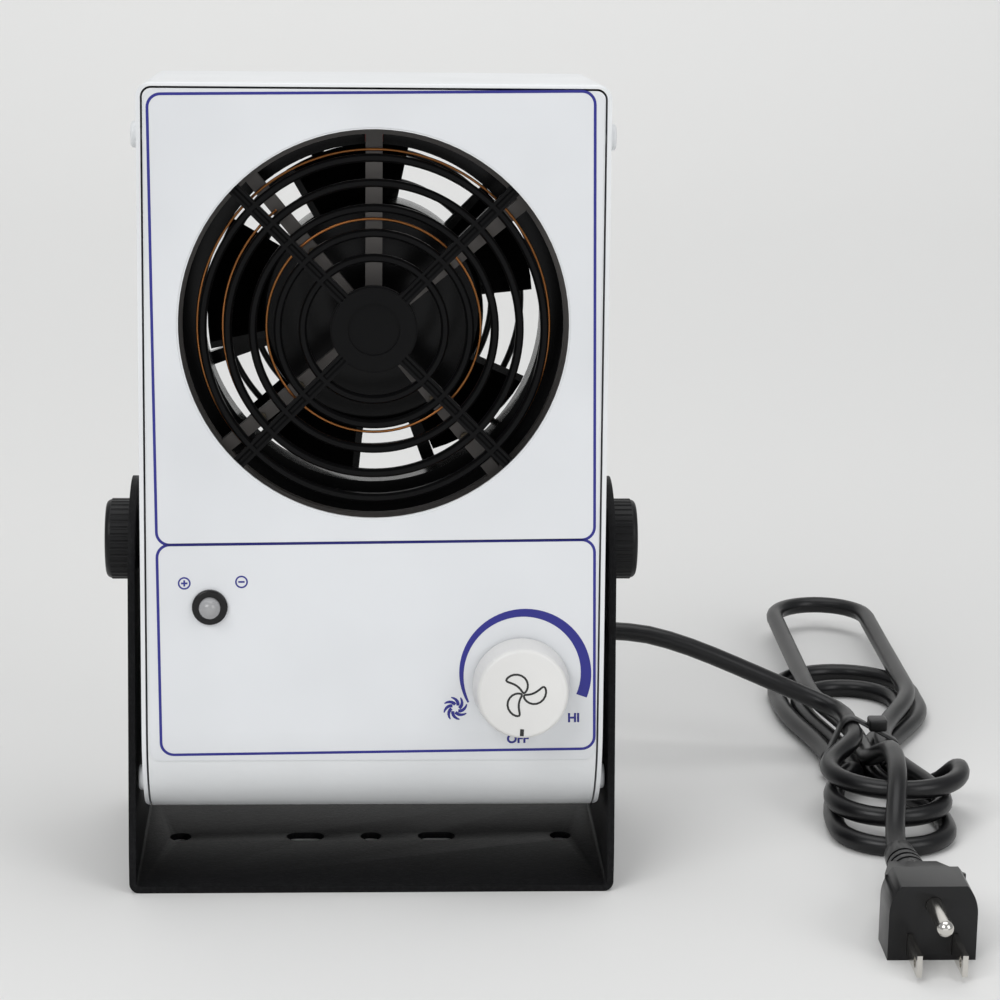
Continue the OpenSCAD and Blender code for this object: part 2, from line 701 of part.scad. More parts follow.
module fan_nuts() color("#9a9da0") in_head() translate([0, 0, fan_z]) at_corners(fan_pitch) difference() {
    translate([0, fan_front - duct_flange_t - nut_t, 0]) rotate([-90, 0, 0]) cylinder(d = 8.1, h = nut_t, $fn = 6);
    rod_y(screw_d + 2 * fine, fan_front - duct_flange_t - nut_t - over, nut_t + 2 * over);
}

ear_t = rear_wire_d;                   // the guard's ears lie flat on the rear wall

// Wire guard over the intake: rings welded to four bent arms that end in screw ears.
module rear_guard() color("#1a1a1b") in_head() translate([0, rear_y, fan_z]) {
    w = rear_wire_d;
    ear_r = screw_d / 2 + w;
    reach = norm([fan_pitch / 2, fan_pitch / 2]) - ear_r;
    turned() for (r = rear_ring_r) translate([r, w * 1.4]) circle(d = w, $fn = 24);
    for (a = [45 : 90 : 315]) rotate([0, -a, 0]) {
        // arm across the rings, and its end brought down to the wall
        translate([rear_ring_r[0] - 1, w * 0.5, 0]) rotate([0, 90, 0]) cylinder(d = w, h = reach - rear_ring_r[0] + 2);
        translate([reach + ear_r, 0, 0]) difference() {
            rod_y(2 * ear_r, 0, ear_t);
            rod_y(screw_d + 2 * slip, -over, ear_t + 2 * over);
        }
    }
}

// ---------- controls ----------

module speed_knob() color("#f0f0ee") in_head() translate([knob_x, 0, knob_z]) {
    foot_y = front_y - label_t - 1;
    r = knob_d / 2;
    cap_r = r * 0.92;
    bore = knob_h * 0.7;
    difference() {
        turned() difference() {
            polygon([[0, foot_y], [r, foot_y], [r, foot_y - 1.2], [cap_r, foot_y - knob_h], [0, foot_y - knob_h]]);
            corner_off(cap_r, foot_y - knob_h, -1, 1, 1);
        }
        rod_y(knob_shaft_d + 2 * fine, foot_y - bore, bore + over);
        rod_y(knob_hollow_d, foot_y - 3, 3 + over);
    }
}

module knob_shaft() color("#b9bbbd") in_head() translate([knob_x, 0, knob_z])
    rod_y(knob_shaft_d, front_y - label_t - 1 - knob_h * 0.7 + slip, plate_y + pot_t * 0.6 - front_y + label_t + 1
        + knob_h * 0.7 - slip);

module speed_control() color("#4a4d50") in_head() translate([knob_x, 0, knob_z]) difference() {
    union() {
        rod_y(pot_d, plate_y, pot_t);
        rod_y(bush_d, front_y - 2.5, skin_t + 3);
        translate([-8, plate_y + 2, -pot_d / 2 - 6]) cube([16, 1.6, 10]);
    }
    rod_y(knob_shaft_d + 2 * run, front_y - 3, plate_y + pot_t * 0.6 + slip - front_y + 3);
}

module control_nut() color("#b4a36a") in_head() translate([knob_x, front_y - 2, knob_z]) difference() {
    rotate([-90, 0, 0]) cylinder(d = 10.5, h = 2, $fn = 6);
    rod_y(bush_d + 2 * fine, -over, 2 + 2 * over);
}

module lamp_bezel() color("#1a1a1a") in_head() translate([-lamp_x, 0, lamp_z]) difference() {
    bore = lamp_d - 4;
    union() {
        turned() {
            translate([0, front_y - 1]) square([lamp_d / 2, 1]);
            translate([0, front_y - 1.6]) square([lamp_d / 2 - 0.6, 1]);
            translate([lamp_d / 2 - 0.6, front_y - 1]) circle(0.6, $fn = 32);
        }
        rod_y(lamp_d - 2, front_y, 8);
    }
    rod_y(bore, front_y - 4, 14);
}

module lamp_lens() color("#c9cdd0") in_head() translate([-lamp_x, 0, lamp_z]) {
    r = (lamp_d - 4) / 2 - fine;
    rod_y(2 * r, front_y - 2.4, 9);
    translate([0, front_y - 2.4, 0]) intersection() {
        sphere(r, $fn = 48);
        rod_y(2 * r + 1, -r - 1, r + 1.5);
    }
    for (x = [-1.27, 1.27]) translate([x, 0, 0]) rod_y(0.6, front_y + 6, 6);
}

// ---------- electronics in the lower compartment ----------

board_w = 80;
board_h = 56;
board_t = 1.6;
board_x = -18;                         // middle of the board
board_z = -38;
post_l = 8;
board_y = wall_y - post_l - board_t;

module board_post_places() for (sx = [-1, 1], sz = [-1, 1])
    translate([board_x + sx * (board_w / 2 - 5), 0, board_z + sz * (board_h / 2 - 5)]) children();

module circuit_board() color("#1f5c38") in_head() difference() {
    translate([board_x - board_w / 2, board_y, board_z - board_h / 2]) cube([board_w, board_t, board_h]);
    board_post_places() rod_y(3 + 2 * slip, board_y - over, board_t + 2 * over);
}

module board_posts() color("#c2b27a") in_head() board_post_places() {
    rotate([-90, 0, 0]) translate([0, 0, board_y + board_t]) difference() {
        cylinder(d = 6.4, h = post_l, $fn = 6);
        translate([0, 0, -over]) cylinder(d = 3 + 2 * fine, h = post_l + 2 * over);
    }
}

// One screw through the board and one through the rear wall, at each post.
module board_screws() color("#b9bbbd") in_head() board_post_places() {
    half = post_l / 2 - slip;
    rod_y(3, board_y - 1, board_t + 1 + half);
    rod_y(5.5, board_y - 1.6, 1.6);
    rod_y(3, wall_y - half, half + skin_t + 1);
    rod_y(5.5, rear_y, 1.4);
}

module board_parts() color("#2c2f33") in_head() translate([board_x, board_y, board_z]) rotate([90, 0, 0]) {
    translate([-30, -8, 0]) cube([26, 24, 18]);
    for (x = [6, 20]) translate([x, 10, 0]) cylinder(d = 12, h = 20);
    translate([2, -18, 0]) cube([12, 8, 4]);
    translate([-28, -22, 0]) cube([14, 8, 9]);
    for (x = [24, 30]) translate([x, -14, 0]) cylinder(d = 5, h = 8);
    translate([-8, -24, 0]) cube([8, 6, 8]);
}

unit_x = -24;
unit_w = 52;
unit_d = 24;
unit_h = 24;
unit_y = 0.5;                           // middle of the unit, front to back

module high_voltage_holes(d, z, h) for (s = [-1, 1])
    translate([unit_x + s * (unit_w / 2 + 4), unit_y, z]) cylinder(d = d, h = h);

module high_voltage_unit() color("#22262b") in_head() difference() {
    union() {
        translate([unit_x - unit_w / 2, unit_y - unit_d / 2, floor_z]) cube([unit_w, unit_d, unit_h]);
        translate([unit_x - unit_w / 2 - 8, unit_y - 6, floor_z]) cube([unit_w + 16, 12, 3]);
    }
    high_voltage_holes(3 + 2 * slip, floor_z - over, 6);
}

module high_voltage_screws() color("#b9bbbd") in_head() {
    high_voltage_holes(3, bot - 1, skin_t + 1 + 3 + 2.4);
    high_voltage_holes(5.5, bot - 1.4, 1.4);
    high_voltage_holes(5.5, floor_z + 3, 2.2);
}

lead_d = 2;
lead_y = emitter_y + emitter_arm_t / 2;
lead_x = [-1.6, 1.6];                  // where the two leads pass the top of the duct
lead_pocket = 5;                       // how deep they sit in the emitter frame
frame_top = fan_z + duct_r - fine;

module high_voltage_leads() color("#8e2b26") in_head() for (i = [0, 1]) {
    z0 = floor_z + unit_h + fine;
    x0 = unit_x - 8 + 12 * i;
    y = lead_y + 3.4 * i;
    tube(smooth([[x0, unit_y, z0], [x0, unit_y, z0 + 3], [x0, unit_y, z0 + 8], [x0 - 8, unit_y - 3 - 2 * i, z0 + 15 + 6 * i],
        [-48 + 4 * i, -14 + 3 * i, -22 + 4 * i], [-60.4 + 0.8 * i, y + 3, 2 + 3 * i], [-61.4, y, 30],
        [-61.4, y, 70], [-61.4, y, 104], [-55 + i, y, 124 - i], [-40, y, 131], [-16, y, 131.5],
        [lead_x[i] - 5 + 3 * i, lead_y + 3.2 * i, 131.2], [lead_x[i] + 1.8 * i, lead_y + 1.4 * i, frame_top + 5.2],
        [lead_x[i], lead_y, frame_top + 1], [lead_x[i], lead_y, frame_top - lead_pocket + slip]], 3), lead_d, 8);
}

block_x = 44;                          // middle of the terminal block
core_d = 1.6;                          // one insulated core of the mains cord

module terminal_block() color("#d9d4c4") in_head() difference() {
    translate([block_x - 13, -6, floor_z]) cube([26, 16, 14]);
    for (x = [-8, 0, 8]) translate([block_x + x, 4, floor_z + 8]) cylinder(d = 4, h = 10);
    for (x = [-8, 0, 8]) translate([block_x + x, 0, floor_z + 4]) rod_y(3, 4, 8);
}

// Three wires from the cord's end inside the gland down to the terminal block.
module mains_leads() color("#3b6b3a") in_head() for (i = [-1, 0, 1]) {
    turn = 90 - 120 * i;
    gx = gland_x + 1.28 * cos(turn);
    gz = gland_z + 1.28 * sin(turn);
    x = block_x + 8 * i;
    tube(smooth([[gx, wall_y - 2, gz], [gx, wall_y - 5, gz], [gx, wall_y - 8, gz],
        [gland_x + 3.5 * i, wall_y - 13, gland_z - 3], [block_x + 6 * i, 19, gland_z - 14],
        [x, 17, floor_z + 7], [x, 13, floor_z + 4], [x, 9, floor_z + 4], [x, 5, floor_z + 4]], 3), core_d, 8);
}

// ---------- mains cord ----------

module cord_gland() color("#161617") in_head() translate([gland_x, 0, gland_z]) difference() {
    turned() {
        polygon([[0, wall_y - 7], [gland_d / 2, wall_y - 7], [gland_d / 2, rear_y], [gland_collar_d / 2, rear_y],
            [gland_collar_d / 2, rear_y + gland_collar_t], [gland_d / 2 - 0.5, rear_y + gland_collar_t + 1],
            [cord_d / 2 + 1.2, rear_y + gland_l], [0, rear_y + gland_l]]);
    }
    for (i = [1 : 4]) turned() translate([gland_d / 2 - 1.1, rear_y + gland_collar_t + 3 * i]) square([4, 1.2]);
    translate([0, 0, 0]) rod_y(cord_d - 1, wall_y - 8, 6);
}

module gland_nut() color("#161617") in_head() translate([gland_x, 0, gland_z]) difference() {
    rotate([-90, 0, 0]) translate([0, 0, wall_y - 5]) cylinder(d = 18, h = 5, $fn = 6);
    rod_y(gland_d + 2 * fine, wall_y - 5 - over, 5 + 2 * over);
}

cord_sides = 10;
cord_split = 72;                       // where the cord passes from the head's side to the bracket's side
bundle_y = 62;                         // rear end of the tied bundle
// A point on the gland's axis, l behind the gland's end.
function behind_gland(l) = head_point([gland_x, rear_y + gland_l + l, gland_z]);
// Route of the cord, chosen by hand: behind the right arm, then over and down to the tied bundle.
cord_start_route = [behind_gland(fine), behind_gland(4), behind_gland(9), [42.5, 75, 43], [48.5, 82, 42.2],
    [58, 85.7, 41.4], [cord_split, 86, 41]];
cord_lead_route = [[cord_split + slip, 86, 41], [80, 86, 41], [92, 85, 40], [106, 84, 36], [121, 83, 30],
    [135, 82, 24], [147, 79, 19.5], [154, 74, 17.4], [156, 67, 17], [156, bundle_y + slip / 2, 17]];

module cord_start() color("#151516") tube(smooth(cord_start_route, 3), cord_d, cord_sides);
module cord_lead() color("#151516") tube(smooth(cord_lead_route, 2), cord_d, cord_sides);

bundle_front = -38;
loop_x = 168;                          // middle of the loops
neck_l = 5;                            // part of the bundle that the tie holds
tie_t = 1;

// Outline of a loop: a band between two rounded ends.
module loop_outline(x, y0, y1, r) {
    translate([x - r, y0 + r]) square([2 * r, y1 - y0 - 2 * r]);
    for (y = [y0 + r, y1 - r]) translate([x, y]) circle(r);
}

// The loops behind the tie lie two cords deep: a long one over two short ones.
module cord_loops() color("#151516") linear_extrude(2 * cord_d) difference() {
    union() {
        loop_outline(loop_x, bundle_y + 4, 225, 17.5);
        loop_outline(loop_x - 2, bundle_y + 4, 162, 25.5);
        translate([loop_x - 16, bundle_y]) square([28, 20]);
    }
    loop_outline(loop_x, bundle_y + 46, 146, 11);
    loop_outline(loop_x, bundle_y + 104, 213, 8);
}

// The bundle in front of the tie, wrapped round with the cord's last turns.
module cord_bundle() color("#151516") {
    linear_extrude(24) difference() {
        rounded(141, bundle_front, 181, bundle_y - neck_l, [12, 12, 12, 12]);
    }
    translate([146, bundle_y - neck_l - 12, tie_t + 0.2]) cube([30, neck_l + 12, 21]);
}

module cord_tie() color("#0d0d0e") {
    w = 30 + 2 * fine;
    h = 21 + 2 * fine;
    translate([146 - fine, bundle_y - neck_l + 0.5, tie_t + 0.2 - fine]) difference() {
        translate([-tie_t, 0, -tie_t]) cube([w + 2 * tie_t, 3, h + 2 * tie_t]);
        translate([0, -over, 0]) cube([w, 3 + 2 * over, h]);
    }
}

plug_x = 156;
grip_l = 22;                           // length of the plug's strain relief
plug_back = bundle_front;
plug_front = plug_back - grip_l - plug_l;
plug_z = plug_h / 2;

// Moulded plug: a ribbed grip that widens into the body, with its flat face towards -Y.
module plug_body() color("#1d1d1e") translate([plug_x, 0, 0]) difference() {
    union() {
        translate([0, plug_front, 0]) translate([-plug_w / 2, 0, 0]) cube([plug_w, plug_l * 0.45, plug_h * 0.62]);
        translate([0, plug_front + plug_l * 0.45, plug_h * 0.62]) rotate([90, 0, 0])
            intersection() {
                cylinder(d = plug_w, h = plug_l * 0.45);
                translate([-plug_w / 2, -plug_h * 0.62, 0]) cube([plug_w, plug_h, plug_l]);
            }
        hull() {
            translate([-plug_w / 2 + 1, plug_front + plug_l * 0.45 - 1, 1]) cube([plug_w - 2, 1, plug_h - 3]);
            translate([-7, plug_front + plug_l, 3]) cube([14, 1, plug_h - 9]);
        }
        hull() {
            translate([0, plug_front + plug_l + 1, plug_z - 1]) rotate([90, 0, 0]) cylinder(d = 12, h = 1, $fn = 32);
            translate([0, plug_back, plug_z - 1]) rotate([90, 0, 0]) cylinder(d = 9, h = 1, $fn = 32);
        }
    }
    for (y = [1 : 3]) translate([0, plug_front + plug_l + 2 + 4 * y, plug_z - 1]) rotate([90, 0, 0])
        difference() {
            cylinder(d = 16, h = 1.4);
            translate([0, 0, -1]) cylinder(d = 8, h = 4);
        }
    for (x = [-6.35, 6.35]) translate([x - 0.8, plug_front - over, 1.6]) cube([1.6, over + 6, 6.4]);
    translate([0, plug_front - over, 16.5]) rotate([-90, 0, 0]) cylinder(d = 4.8, h = over + 6);
}

// Two flat blades with their round holes.
module plug_blades() color("#c8cacc") for (x = [-6.35, 6.35]) translate([plug_x + x, 0, 0]) difference() {
    union() {
        translate([-0.75, plug_front - 16, 1.65]) cube([1.5, 16 + 5.9, 6.3]);
    }
    translate([-2, plug_front - 12.5, 4.8]) rotate([0, 90, 0]) cylinder(d = 3.2, h = 4);
}

module plug_ground_pin() color("#c8cacc") translate([plug_x, plug_front, 16.5]) {
    rotate([90, 0, 0]) cylinder(d = 4.7, h = 17);
    rotate([-90, 0, 0]) cylinder(d = 4.7, h = 5.9);
    translate([0, -17, 0]) sphere(d = 4.7, $fn = 32);
}

bracket();
pivot_washers();
clamp_knob_left();
clamp_stud_left();
clamp_knob_right();
clamp_stud_right();
rear_shell();
front_cover();
front_label();
side_screws();
clip_nuts();
pivot_nuts();
finger_guard();
air_duct();
emitter_frame();
emitter_wires();
needle_sockets();
emitter_needles();
fan_frame();
fan_screws();
fan_nuts();
rear_guard();
motor_stator();
motor_bearings();
impeller();
rotor_magnet();
motor_shaft();
speed_knob();
knob_shaft();
speed_control();
control_nut();
lamp_bezel();
lamp_lens();
circuit_board();
board_parts();
board_posts();
board_screws();
high_voltage_unit();
high_voltage_screws();
high_voltage_leads();
terminal_block();
mains_leads();
cord_gland();
gland_nut();
cord_start();
cord_lead();
cord_loops();
cord_bundle();
cord_tie();
plug_body();
plug_blades();
plug_ground_pin();
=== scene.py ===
# %% [markdown]
# # A benchtop ionizing blower
#
# The part is a white sheet-metal head with a fan behind a round guard. It leans back in a black
# U bracket, between two clamp knobs, and its mains cord lies tied up beside it.
#
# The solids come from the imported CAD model, in metres and in their places. This script gives them
# their finishes, makes the pieces that need finer shapes, and lights the whole.

# %% Load the frame
import bpy, bmesh, json, math
from mathutils import Matrix, Vector
from mathutils.geometry import convex_hull_2d

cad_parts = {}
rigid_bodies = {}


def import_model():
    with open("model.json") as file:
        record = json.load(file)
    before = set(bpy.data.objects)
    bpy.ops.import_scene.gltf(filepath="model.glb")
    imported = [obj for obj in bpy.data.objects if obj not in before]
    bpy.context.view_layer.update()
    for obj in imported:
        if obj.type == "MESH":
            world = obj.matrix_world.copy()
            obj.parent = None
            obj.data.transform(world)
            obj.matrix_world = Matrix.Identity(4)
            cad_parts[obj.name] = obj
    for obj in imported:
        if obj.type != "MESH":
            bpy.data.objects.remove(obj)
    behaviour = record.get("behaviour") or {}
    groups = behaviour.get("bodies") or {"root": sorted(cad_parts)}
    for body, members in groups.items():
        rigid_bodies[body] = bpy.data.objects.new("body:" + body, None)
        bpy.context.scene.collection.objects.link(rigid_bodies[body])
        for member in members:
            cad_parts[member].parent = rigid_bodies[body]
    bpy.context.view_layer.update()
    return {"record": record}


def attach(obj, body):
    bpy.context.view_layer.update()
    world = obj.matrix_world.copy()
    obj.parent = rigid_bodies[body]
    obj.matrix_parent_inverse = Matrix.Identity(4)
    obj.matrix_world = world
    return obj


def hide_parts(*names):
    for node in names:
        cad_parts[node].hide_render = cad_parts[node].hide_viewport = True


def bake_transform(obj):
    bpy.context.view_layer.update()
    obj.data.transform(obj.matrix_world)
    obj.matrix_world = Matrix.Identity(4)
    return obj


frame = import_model()

# %% [markdown]
# ## Camera
#
# The blower is seen from a little above and from the left of its middle, with a long lens, so
# that its upright edges stay almost parallel. The camera's three axes are worked out from its
# heading, its downward pitch and its small roll.

# %% Camera
MM = 0.001
heading, pitch, roll = (math.radians(a) for a in (2.98, 14.79, -0.81))
level = math.cos(pitch)
ahead = Vector((math.sin(heading) * level, math.cos(heading) * level, -math.sin(pitch)))
side = Vector((math.cos(heading), -math.sin(heading), 0))
down = ahead.cross(side)
right = side * math.cos(roll) + down * math.sin(roll)
up = side * math.sin(roll) - down * math.cos(roll)
lens = bpy.data.cameras.new("camera")
lens.lens, lens.sensor_width = 115.36, 36
camera = bpy.data.objects.new("camera", lens)
turned = Matrix((right, up, -ahead)).transposed().to_4x4()
camera.matrix_world = Matrix.Translation((-0.00993, -0.92201, 0.35214)) @ turned
bpy.context.scene.collection.objects.link(camera)
bpy.context.scene.camera = camera
print("camera looks along", [round(v, 3) for v in ahead])

# %% [markdown]
# ## Places
#
# The print on the head could be placed straight in the scene, but its measures are easier to give
# upright, in millimetres from the tilt pivot. One matrix then leans it back with the head.

# %% Places on the leaning head
REST_TILT = math.radians(5)
PIVOT_H = 96.5
LEAN = Matrix.Translation((0, 0, PIVOT_H * MM)) @ Matrix.Rotation(-REST_TILT, 4, "X")


def on_head(x, y, z):
    """A point of the upright head, in millimetres from its pivot, as a point of the scene."""
    return LEAN @ Vector((x * MM, y * MM, z * MM))


print("the head tilts about", [round(v, 4) for v in on_head(0, 0, 0)])

# %% [markdown]
# ## Materials
#
# Every finish is built from nodes. `Sock` wraps one socket, so that shader maths can be written
# as ordinary sums, and `Finish` starts a material and fills its Principled shader.

# %% Shader maths
def maths(nodes, operation, *values):
    node = nodes.new("ShaderNodeMath")
    node.operation = operation
    for i, value in enumerate(values):
        plug(nodes, node.inputs[i], value)
    return Sock(nodes, node.outputs[0])


def plug(nodes, socket, value):
    if isinstance(value, Sock):
        nodes.id_data.links.new(value.out, socket)
    else:
        socket.default_value = value


class Sock:
    """One output socket, with the sums that can be done on it."""

    def __init__(self, nodes, out):
        self.nodes, self.out = nodes, out

    def do(self, operation, *others):
        return maths(self.nodes, operation, self, *others)

    def __add__(self, other):
        return self.do("ADD", other)

    def __mul__(self, other):
        return self.do("MULTIPLY", other)

    def __sub__(self, other):
        return self.do("SUBTRACT", other)

    __radd__ = __add__


class Finish:
    """A material with one Principled shader."""

    def __init__(self, name, color, roughness, **rest):
        self.material = bpy.data.materials.new(name)
        self.material.use_nodes = True
        self.nodes = self.material.node_tree.nodes
        self.shader = self.nodes["Principled BSDF"]
        self.set(base_color=(*color, 1), roughness=roughness, **rest)

    def set(self, **inputs):
        for key, value in inputs.items():
            label = key.replace("_", " ").title().replace("Ior", "IOR")
            plug(self.nodes, self.shader.inputs[label], value)

    def node(self, kind, settings={}, **inputs):
        """Any other node, with its settings and its inputs."""
        made = self.nodes.new("ShaderNode" + kind)
        for key, value in settings.items():
            setattr(made, key, value)
        for key, value in inputs.items():
            plug(self.nodes, made.inputs[key.replace("_", " ")], value)
        return made

    def out(self, made, name=0):
        return Sock(self.nodes, made.outputs[name])

    def spot(self):
        """The place on the object, in metres."""
        return self.out(self.node("TexCoord"), "Object")

    def noise(self, scale, detail=2.0, roughness=0.5, vector=None):
        made = self.node("TexNoise", Vector=vector or self.spot(), Scale=scale, Detail=detail,
                         Roughness=roughness)
        return self.out(made, "Fac")

    def blend(self, share, first, second):
        made = self.node("Mix", {"data_type": "RGBA"})
        plug(self.nodes, made.inputs["Factor"], share)
        for socket, value in ((made.inputs[6], first), (made.inputs[7], second)):
            plug(self.nodes, socket, (*value, 1) if isinstance(value, tuple) else value)
        return Sock(self.nodes, made.outputs[2])

    def bump(self, height, strength, distance):
        made = self.node("Bump", Height=height, Strength=strength, Distance=distance)
        self.set(normal=self.out(made, "Normal"))


def steps(share, low, high):
    """share from low to high as 0 to 1, held at both ends."""
    made = share.nodes.new("ShaderNodeMapRange")
    plug(share.nodes, made.inputs["Value"], share)
    made.inputs["From Min"].default_value, made.inputs["From Max"].default_value = low, high
    return Sock(share.nodes, made.outputs["Result"])


print("shader helpers ready")

# %% [markdown]
# ## Finishes
#
# Each finish could be one flat colour, but real paint, plastic and metal change a little in tone
# and gloss over their surface. So each kind has a function that adds slow noise to both, and a
# fine grain in the bump.

# %% Finishes
def paint(name, color, roughness, peel=0.05):
    """Smooth powder coat: a faint orange peel and slow changes of gloss."""
    f = Finish(name, color, roughness)
    slow, fine = f.noise(14, 3), f.noise(900, 2)
    f.set(base_color=f.blend(steps(slow, 0.35, 0.75), color, tuple(c * 0.9 for c in color)))
    f.set(roughness=roughness + (slow - 0.5) * 0.12)
    f.bump(fine, peel, 0.00003)
    return f.material


def moulded(name, color, roughness, grain=0.15, scale=2600, shine=0.5):
    """Moulded plastic: a fine grain, a little uneven gloss."""
    f = Finish(name, color, roughness, specular_ior_level=shine)
    slow, fine = f.noise(30, 3), f.noise(scale, 2)
    f.set(base_color=f.blend(slow, color, tuple(min(1, c * 1.25 + 0.002) for c in color)))
    f.set(roughness=roughness + (slow - 0.5) * 0.16)
    f.bump(fine, grain, 0.00004)
    return f.material


def metal(name, color, roughness, stretch=(1, 1, 1)):
    """Bare or plated metal: fine drawn marks and uneven gloss."""
    f = Finish(name, color, roughness, metallic=1.0)
    drawn = f.node("Mapping", Vector=f.spot(), Scale=stretch)
    marks, slow = f.noise(1500, 3, vector=f.out(drawn)), f.noise(60, 3)
    f.set(base_color=f.blend(slow, color, tuple(c * 0.82 for c in color)))
    f.set(roughness=roughness + (marks - 0.5) * 0.2 + (slow - 0.5) * 0.1)
    f.bump(marks, 0.08, 0.00002)
    return f.material


def powder_coat(name):
    """Black powder coat with a wrinkle grain, with painted shade in the grain's hollows and its high spots
    paler.
    """
    low, high = (0.004, 0.004, 0.0045), (0.012, 0.012, 0.013)
    f = Finish(name, high, 0.5, specular_ior_level=0.12)
    grain, coarse, slow = f.noise(1700, 4, 0.6), f.noise(700, 2), f.noise(9, 3)
    height = grain * 0.7 + coarse * 0.5
    # The colour follows the grain's height: painted shade in its hollows, paler on its high spots.
    f.set(base_color=f.blend(steps(height, 0.55, 0.85), low, high))
    f.set(roughness=0.42 + grain * 0.2 + (slow - 0.5) * 0.1)
    f.bump(height, 0.55, 0.00022)
    return f.material


look = {
    "housing_paint": paint("housing_paint", (0.80, 0.815, 0.825), 0.34),
    "bracket_paint": powder_coat("bracket_paint"),
    "label_film": paint("label_film", (0.765, 0.78, 0.80), 0.22, 0.02),
    "guard_plastic": moulded("guard_plastic", (0.002, 0.002, 0.0022), 0.36, 0.12, shine=0.09),
    "duct_plastic": moulded("duct_plastic", (0.002, 0.002, 0.0022), 0.2, 0.03, shine=0.16),
    "clamp_plastic": moulded("clamp_plastic", (0.004, 0.004, 0.0045), 0.42, 0.2, shine=0.25),
    "black_nylon": moulded("black_nylon", (0.004, 0.004, 0.004), 0.45, 0.1, shine=0.3),
    "black_gloss": moulded("black_gloss", (0.005, 0.005, 0.0055), 0.24, 0.03, shine=0.3),
    "emitter_plastic": moulded("emitter_plastic", (0.09, 0.083, 0.078), 0.6, 0.2),
    "copper_wire": metal("copper_wire", (0.56, 0.22, 0.07), 0.32),
    "brass": metal("brass", (0.24, 0.2, 0.14), 0.4),
    "needle_steel": metal("needle_steel", (0.62, 0.62, 0.63), 0.22),
    "zinc_steel": metal("zinc_steel", (0.56, 0.57, 0.60), 0.33),
    "guard_wire": moulded("guard_wire", (0.014, 0.014, 0.015), 0.3, 0.05),
    "magnet": moulded("magnet", (0.04, 0.04, 0.042), 0.6),
    "knob_plastic": moulded("knob_plastic", (0.66, 0.655, 0.64), 0.34, 0.05),
    "lens": moulded("lens", (0.30, 0.30, 0.305), 0.1, 0.02),
    "board_green": moulded("board_green", (0.02, 0.13, 0.05), 0.3, 0.1, 900),
    "lead_red": moulded("lead_red", (0.3, 0.02, 0.015), 0.4, 0.05),
    "lead_green": moulded("lead_green", (0.05, 0.2, 0.06), 0.4, 0.05),
    "block_cream": moulded("block_cream", (0.6, 0.56, 0.44), 0.45, 0.1),
    "cord_black": moulded("cord_black", (0.004, 0.004, 0.0045), 0.34, 0.04, 700, shine=0.35),
    "tie_black": moulded("tie_black", (0.008, 0.008, 0.008), 0.4, 0.05),
    "blue_ink": moulded("blue_ink", (0.012, 0.013, 0.20), 0.35, 0.02),
    "black_ink": moulded("black_ink", (0.01, 0.01, 0.01), 0.4, 0.02),
    "nickel": metal("nickel", (0.70, 0.68, 0.64), 0.2, (1, 0.08, 1)),
}
print(len(look), "finishes made")

# %% [markdown]
# ## Finishes of the CAD nodes
#
# The record names a finish for each node, and the node's slots get it. The side screws are
# painted like the housing, so that their heads don't stand out.

# %% Give the CAD nodes their finishes
for part in frame["record"]["subparts"]:
    for slot in bpy.data.objects[part["node"]].material_slots:
        slot.material = look[part["material_slot"]]
for slot in bpy.data.objects["side_screws"].material_slots:
    slot.material = look["housing_paint"]

# %% [markdown]
# ## Softened edges
#
# A folded sheet, a moulded plug and a moulded knob have no sharp edges. Their CAD solids could be
# remeshed, but a bevel keeps every face where it is. So each is a copy of its CAD mesh, joined up
# again and rounded by a narrow bevel on its edges alone.

# %% Soften edges
def softened(node, body, width, segments=3):
    """A copy of a CAD node with its edges rounded, riding on the same body."""
    source = bpy.data.objects[node]
    shape = bmesh.new()
    shape.from_mesh(source.data)
    shape.transform(source.matrix_world)
    bmesh.ops.remove_doubles(shape, verts=shape.verts, dist=0.002 * MM)
    bmesh.ops.dissolve_limit(shape, angle_limit=math.radians(0.5), verts=shape.verts, edges=shape.edges)
    mesh = bpy.data.meshes.new("soft_" + node)
    shape.to_mesh(mesh)
    shape.free()
    mesh.shade_smooth()
    mesh.materials.append(source.material_slots[0].material)
    piece = bpy.data.objects.new("soft_" + node, mesh)
    bpy.context.scene.collection.objects.link(piece)
    edge = piece.modifiers.new("edge", "BEVEL")
    edge.width, edge.segments, edge.limit_method = width * MM, segments, "ANGLE"
    edge.angle_limit = math.radians(32)
    edge.harden_normals = True
    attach(piece, body)
    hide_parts(node)
    return piece


softened("bracket", "bracket", 0.35)
softened("speed_knob", "speed_knob", 0.5)
soft_plug = softened("plug_body", "bracket", 0.9, 4)
print("edges softened")
